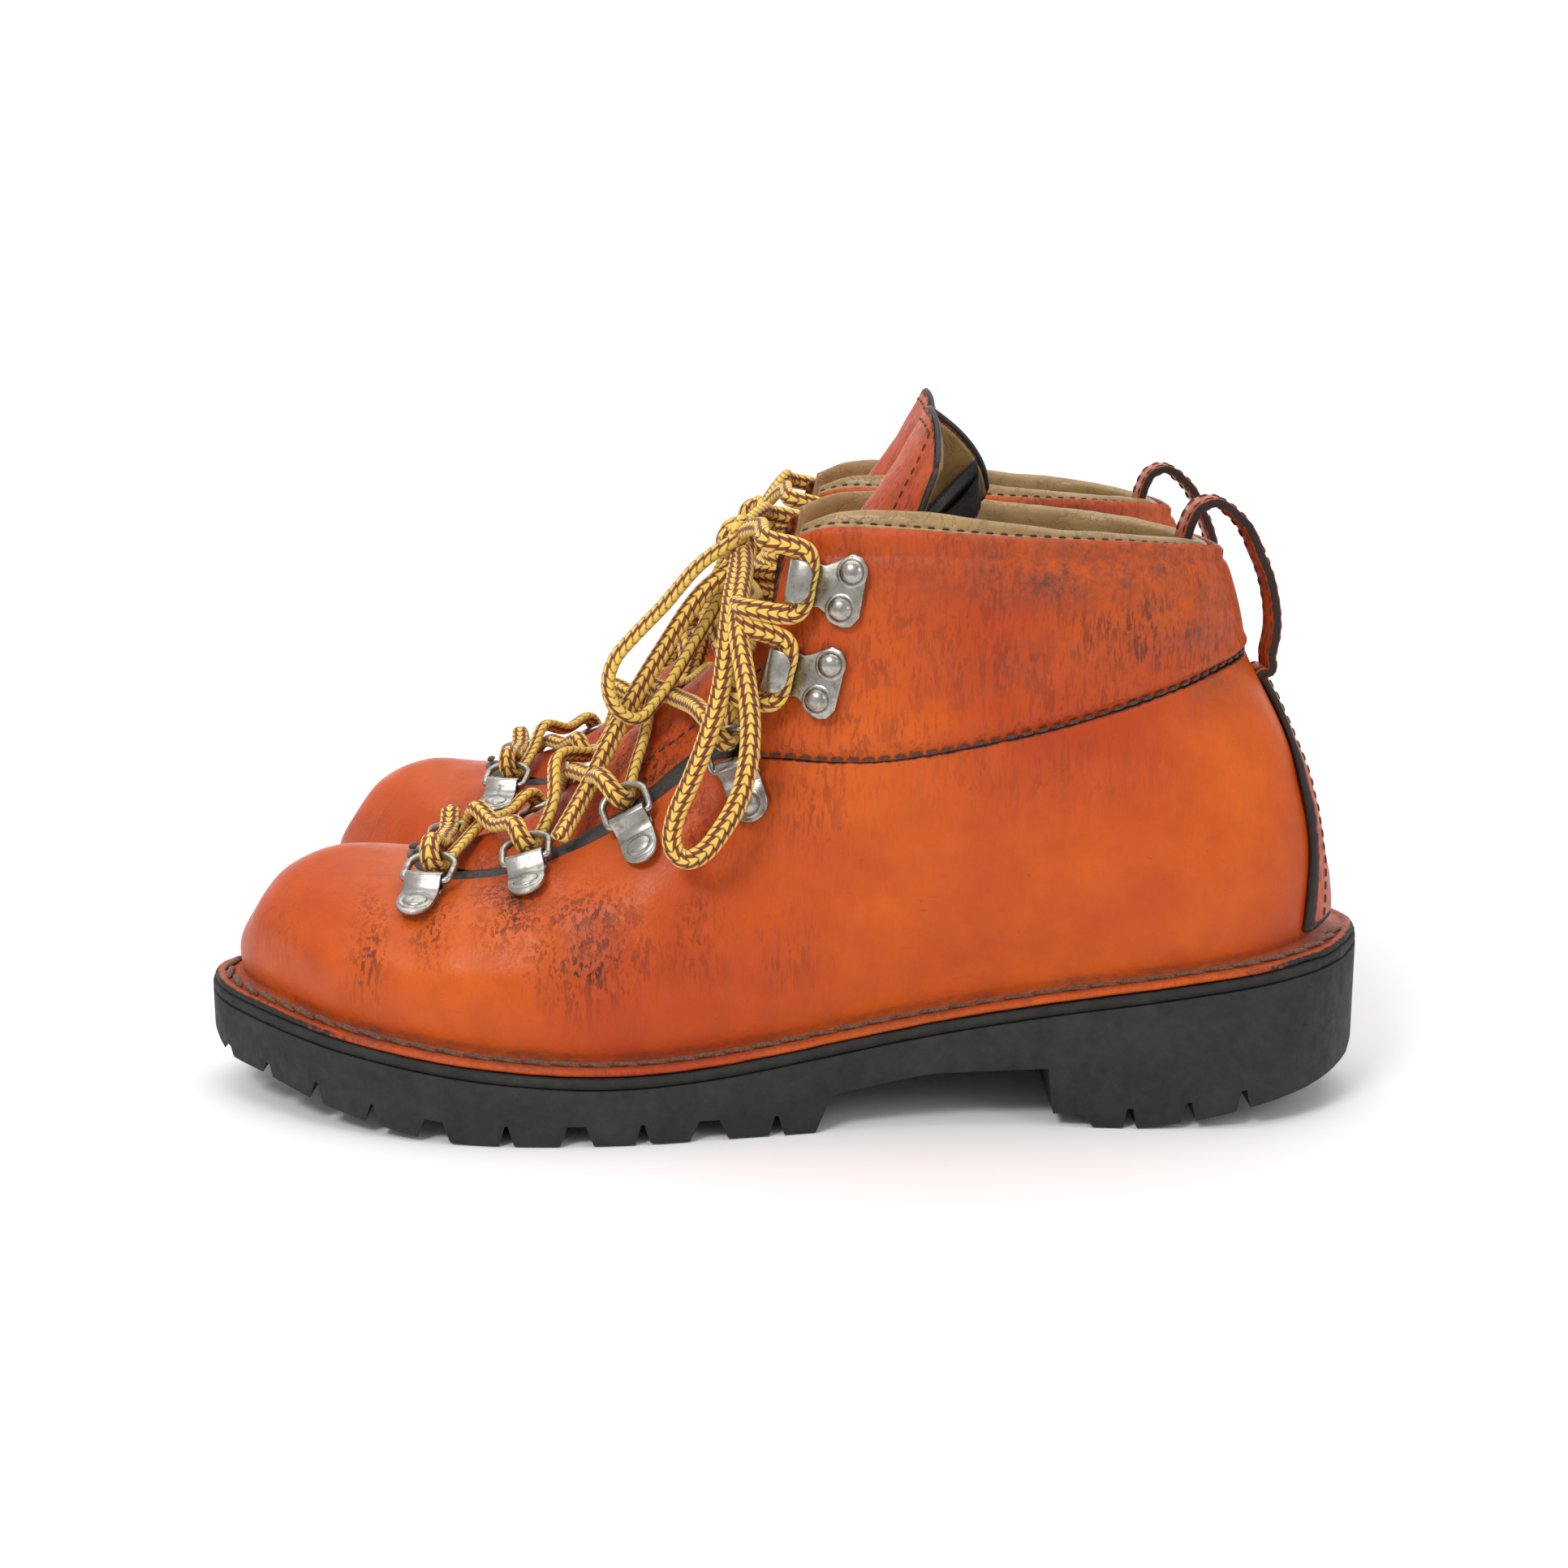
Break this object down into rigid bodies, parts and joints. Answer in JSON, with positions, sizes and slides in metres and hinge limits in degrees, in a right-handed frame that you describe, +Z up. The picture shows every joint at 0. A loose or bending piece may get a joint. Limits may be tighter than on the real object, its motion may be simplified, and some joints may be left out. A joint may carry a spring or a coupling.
{
  "type": "mountaineering boots",
  "caption": "Pair of ankle-high lace-up leather mountaineering boots with padded collar, D-rings, lace hooks, rear pull loop and lugged rubber sole.",
  "frame": {"origin": "on the ground, under the middle of the pair", "axes": "+X from the toes to the heels, +Y from the left boot to the right boot, +Z up"},
  "size_m": [0.3089, 0.2198, 0.1775],
  "materials": {
    "orange_leather": "waxed, creased",
    "tan_leather": "smooth",
    "black_rubber": "matt, worn",
    "midsole_rubber": "matt",
    "footbed_felt": "felt",
    "nickel_steel": "worn nickel plate",
    "yellow_lace": "braided"
  },
  "bodies": {
    "left_boot": {"left_backstay": "orange_leather", "left_cuff": "orange_leather", "left_footbed": "footbed_felt", "left_lace": "yellow_lace", "left_lace_hook_inner_1": "nickel_steel", "left_lace_hook_inner_2": "nickel_steel", "left_lace_hook_outer_1": "nickel_steel", "left_lace_hook_outer_2": "nickel_steel", "left_lining": "tan_leather", "left_midsole": "midsole_rubber", "left_outsole": "black_rubber", "left_pull_loop": "orange_leather", "left_ring_bracket_inner_1": "nickel_steel", "left_ring_bracket_inner_2": "nickel_steel", "left_ring_bracket_inner_3": "nickel_steel", "left_ring_bracket_inner_4": "nickel_steel", "left_ring_bracket_outer_1": "nickel_steel", "left_ring_bracket_outer_2": "nickel_steel", "left_ring_bracket_outer_3": "nickel_steel", "left_ring_bracket_outer_4": "nickel_steel", "left_tongue": "orange_leather", "left_upper": "orange_leather"},
    "right_boot": {"right_backstay": "orange_leather", "right_cuff": "orange_leather", "right_footbed": "footbed_felt", "right_lace": "yellow_lace", "right_lace_hook_inner_1": "nickel_steel", "right_lace_hook_inner_2": "nickel_steel", "right_lace_hook_outer_1": "nickel_steel", "right_lace_hook_outer_2": "nickel_steel", "right_lining": "tan_leather", "right_midsole": "midsole_rubber", "right_outsole": "black_rubber", "right_pull_loop": "orange_leather", "right_ring_bracket_inner_1": "nickel_steel", "right_ring_bracket_inner_2": "nickel_steel", "right_ring_bracket_inner_3": "nickel_steel", "right_ring_bracket_inner_4": "nickel_steel", "right_ring_bracket_outer_1": "nickel_steel", "right_ring_bracket_outer_2": "nickel_steel", "right_ring_bracket_outer_3": "nickel_steel", "right_ring_bracket_outer_4": "nickel_steel", "right_tongue": "orange_leather", "right_upper": "orange_leather"},
    "left_d_ring_outer_1": {"left_d_ring_outer_1": "nickel_steel"},
    "left_d_ring_outer_2": {"left_d_ring_outer_2": "nickel_steel"},
    "left_d_ring_outer_3": {"left_d_ring_outer_3": "nickel_steel"},
    "left_d_ring_outer_4": {"left_d_ring_outer_4": "nickel_steel"},
    "left_d_ring_inner_1": {"left_d_ring_inner_1": "nickel_steel"},
    "left_d_ring_inner_2": {"left_d_ring_inner_2": "nickel_steel"},
    "left_d_ring_inner_3": {"left_d_ring_inner_3": "nickel_steel"},
    "left_d_ring_inner_4": {"left_d_ring_inner_4": "nickel_steel"},
    "right_d_ring_outer_1": {"right_d_ring_outer_1": "nickel_steel"},
    "right_d_ring_outer_2": {"right_d_ring_outer_2": "nickel_steel"},
    "right_d_ring_outer_3": {"right_d_ring_outer_3": "nickel_steel"},
    "right_d_ring_outer_4": {"right_d_ring_outer_4": "nickel_steel"},
    "right_d_ring_inner_1": {"right_d_ring_inner_1": "nickel_steel"},
    "right_d_ring_inner_2": {"right_d_ring_inner_2": "nickel_steel"},
    "right_d_ring_inner_3": {"right_d_ring_inner_3": "nickel_steel"},
    "right_d_ring_inner_4": {"right_d_ring_inner_4": "nickel_steel"}
  },
  "joints": [
    {"name": "right_boot_apart", "type": "slide", "parent": "left_boot", "child": "right_boot", "axis": [0, 0, 1], "range_m": [0, 0.25]},
    {"name": "left_d_ring_outer_1_swing", "type": "hinge", "parent": "left_boot", "child": "left_d_ring_outer_1", "pos_m": [-0.0937, -0.08252, 0.06083], "axis": [-0.9674, 0.2531, -0.0068], "range_deg": [-3, 3]},
    {"name": "left_d_ring_outer_2_swing", "type": "hinge", "parent": "left_boot", "child": "left_d_ring_outer_2", "pos_m": [-0.06806, -0.08266, 0.06593], "axis": [-0.9556, 0.0622, -0.2879], "range_deg": [-3, 3]},
    {"name": "left_d_ring_outer_3_swing", "type": "hinge", "parent": "left_boot", "child": "left_d_ring_outer_3", "pos_m": [-0.0414, -0.08727, 0.07784], "axis": [-0.8615, 0.1035, -0.497], "range_deg": [-3, 3]},
    {"name": "left_d_ring_outer_4_swing", "type": "hinge", "parent": "left_boot", "child": "left_d_ring_outer_4", "pos_m": [-0.01473, -0.09368, 0.0925], "axis": [-0.9113, 0.1935, -0.3634], "range_deg": [-3, 3]},
    {"name": "left_d_ring_inner_1_swing", "type": "hinge", "parent": "left_boot", "child": "left_d_ring_inner_1", "pos_m": [-0.09366, -0.03249, 0.06096], "axis": [0.9686, 0.2486, -0.0007], "range_deg": [-3, 3]},
    {"name": "left_d_ring_inner_2_swing", "type": "hinge", "parent": "left_boot", "child": "left_d_ring_inner_2", "pos_m": [-0.06805, -0.03231, 0.06593], "axis": [0.9569, 0.0596, 0.2841], "range_deg": [-3, 3]},
    {"name": "left_d_ring_inner_3_swing", "type": "hinge", "parent": "left_boot", "child": "left_d_ring_inner_3", "pos_m": [-0.04127, -0.0277, 0.07769], "axis": [0.8668, 0.0932, 0.4898], "range_deg": [-3, 3]},
    {"name": "left_d_ring_inner_4_swing", "type": "hinge", "parent": "left_boot", "child": "left_d_ring_inner_4", "pos_m": [-0.01467, -0.02143, 0.09201], "axis": [0.9003, 0.2188, 0.3762], "range_deg": [-3, 3]},
    {"name": "right_d_ring_outer_1_swing", "type": "hinge", "parent": "right_boot", "child": "right_d_ring_outer_1", "pos_m": [-0.0877, 0.08252, 0.06083], "axis": [-0.9674, -0.2531, -0.0068], "range_deg": [-3, 3]},
    {"name": "right_d_ring_outer_2_swing", "type": "hinge", "parent": "right_boot", "child": "right_d_ring_outer_2", "pos_m": [-0.06206, 0.08266, 0.06593], "axis": [-0.9556, -0.0622, -0.2879], "range_deg": [-3, 3]},
    {"name": "right_d_ring_outer_3_swing", "type": "hinge", "parent": "right_boot", "child": "right_d_ring_outer_3", "pos_m": [-0.0354, 0.08727, 0.07784], "axis": [-0.8615, -0.1035, -0.497], "range_deg": [-3, 3]},
    {"name": "right_d_ring_outer_4_swing", "type": "hinge", "parent": "right_boot", "child": "right_d_ring_outer_4", "pos_m": [-0.00873, 0.09368, 0.0925], "axis": [-0.9113, -0.1935, -0.3634], "range_deg": [-3, 3]},
    {"name": "right_d_ring_inner_1_swing", "type": "hinge", "parent": "right_boot", "child": "right_d_ring_inner_1", "pos_m": [-0.08766, 0.03249, 0.06096], "axis": [0.9686, -0.2486, -0.0007], "range_deg": [-3, 3]},
    {"name": "right_d_ring_inner_2_swing", "type": "hinge", "parent": "right_boot", "child": "right_d_ring_inner_2", "pos_m": [-0.06205, 0.03231, 0.06593], "axis": [0.9569, -0.0596, 0.2841], "range_deg": [-3, 3]},
    {"name": "right_d_ring_inner_3_swing", "type": "hinge", "parent": "right_boot", "child": "right_d_ring_inner_3", "pos_m": [-0.03527, 0.0277, 0.07769], "axis": [0.8668, -0.0932, 0.4898], "range_deg": [-3, 3]},
    {"name": "right_d_ring_inner_4_swing", "type": "hinge", "parent": "right_boot", "child": "right_d_ring_inner_4", "pos_m": [-0.00867, 0.02143, 0.09201], "axis": [0.9003, -0.2188, 0.3762], "range_deg": [-3, 3]}
  ]
}
